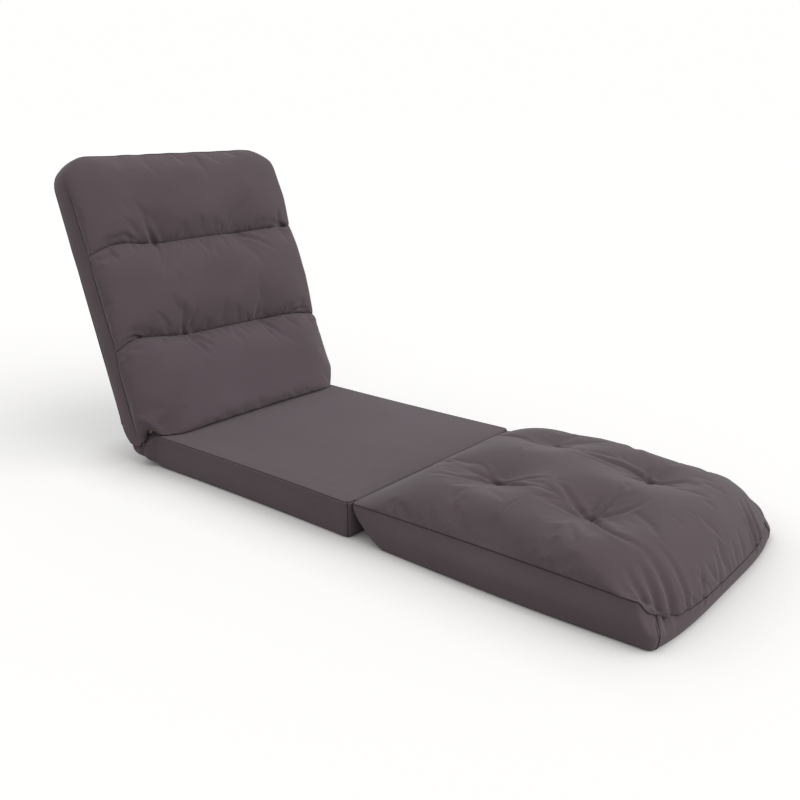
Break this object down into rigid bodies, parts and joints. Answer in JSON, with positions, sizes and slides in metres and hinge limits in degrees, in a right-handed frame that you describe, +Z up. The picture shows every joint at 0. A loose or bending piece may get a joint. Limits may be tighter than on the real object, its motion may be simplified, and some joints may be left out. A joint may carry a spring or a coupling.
{
  "type": "folding floor chair",
  "caption": "Legless folding floor chair: a channelled back on click hinges, a flat foam seat and a tufted leg pad on a fabric hinge.",
  "frame": {"origin": "middle of the seat's flat underside, on the floor", "axes": "+X across the seat to the sitter's left, +Y towards the back, +Z up"},
  "size_m": [0.6, 1.5162, 0.6794],
  "materials": {
    "cover_cloth": "matte",
    "base_cloth": "matte",
    "foam": "matte",
    "fibre_fill": "matte",
    "frame_steel": "satin",
    "hinge_steel": "satin",
    "rivet_steel": "satin",
    "spring_steel": "satin",
    "webbing": "matte",
    "cord": "matte",
    "zip": "matte",
    "slider": "satin",
    "washer": "matte"
  },
  "bodies": {
    "seat": {"seat_cover_top": "cover_cloth", "seat_cover_boxing": "cover_cloth", "seat_cover_base": "base_cloth", "seat_foam_upper": "foam", "seat_foam_lower": "foam", "seat_frame_tube": "frame_steel", "seat_cross_tubes": "frame_steel", "seat_zip": "zip", "ratchet_housing_left": "hinge_steel", "ratchet_housing_right": "hinge_steel", "pivot_rivet_left": "rivet_steel", "pivot_rivet_right": "rivet_steel", "pawl_pin_left": "rivet_steel", "pawl_pin_right": "rivet_steel", "pawl_spring_left": "spring_steel", "pawl_spring_right": "spring_steel", "seat_frame_rivets": "rivet_steel", "crease_roll": "cover_cloth", "crease_gutter": "cover_cloth", "leg_hinge_tape": "webbing"},
    "back": {"ratchet_sector_left": "hinge_steel", "ratchet_sector_right": "hinge_steel", "back_frame_rivets": "rivet_steel", "back_cover_front": "cover_cloth", "back_cover_boxing": "cover_cloth", "back_cover_rear": "cover_cloth", "back_fill_lower": "fibre_fill", "back_fill_middle": "fibre_fill", "back_fill_upper": "fibre_fill", "back_foam_front": "foam", "back_foam_rear": "foam", "back_frame_tube": "frame_steel", "back_webbing": "webbing", "back_seam_cords": "cord", "back_zip": "zip"},
    "leg": {"leg_cover_top": "cover_cloth", "leg_cover_boxing": "cover_cloth", "leg_cover_base": "base_cloth", "leg_fill": "fibre_fill", "leg_foam": "foam", "leg_tuft_cords": "cord", "leg_tuft_washers": "washer", "leg_zip": "zip"},
    "pawl_left": {"ratchet_pawl_left": "hinge_steel"},
    "pawl_right": {"ratchet_pawl_right": "hinge_steel"},
    "seat_slider": {"seat_zip_slider": "slider"},
    "back_slider": {"back_zip_slider": "slider"},
    "leg_slider": {"leg_zip_slider": "slider"}
  },
  "joints": [
    {"name": "back_recline", "type": "hinge", "parent": "seat", "child": "back", "pos_m": [0, 0.335, 0.042], "axis": [-1, 0, 0], "range_deg": [-19.29, 70.71], "deforming": ["crease_roll"]},
    {"name": "leg_fold", "type": "hinge", "parent": "seat", "child": "leg", "pos_m": [0, -0.3008, 0.075], "axis": [-1, 0, 0], "range_deg": [0, 145], "deforming": ["leg_hinge_tape"]},
    {"name": "pawl_left_drop", "type": "hinge", "parent": "seat", "child": "pawl_left", "pos_m": [0.235, 0.30543, 0.05059], "axis": [1, 0, 0], "range_deg": [0, 3], "stiffness_Nm_per_rad": 0.05},
    {"name": "pawl_right_drop", "type": "hinge", "parent": "seat", "child": "pawl_right", "pos_m": [-0.235, 0.30543, 0.05059], "axis": [1, 0, 0], "range_deg": [0, 3], "stiffness_Nm_per_rad": 0.05},
    {"name": "seat_zip_slide", "type": "slide", "parent": "seat", "child": "seat_slider", "axis": [0, -1, 0], "range_m": [0, 0.38]},
    {"name": "back_zip_slide", "type": "slide", "parent": "back", "child": "back_slider", "axis": [1, 0, 0], "range_m": [0, 0.4]},
    {"name": "leg_zip_slide", "type": "slide", "parent": "leg", "child": "leg_slider", "axis": [0, -1, 0], "range_m": [0, 0.38]}
  ]
}
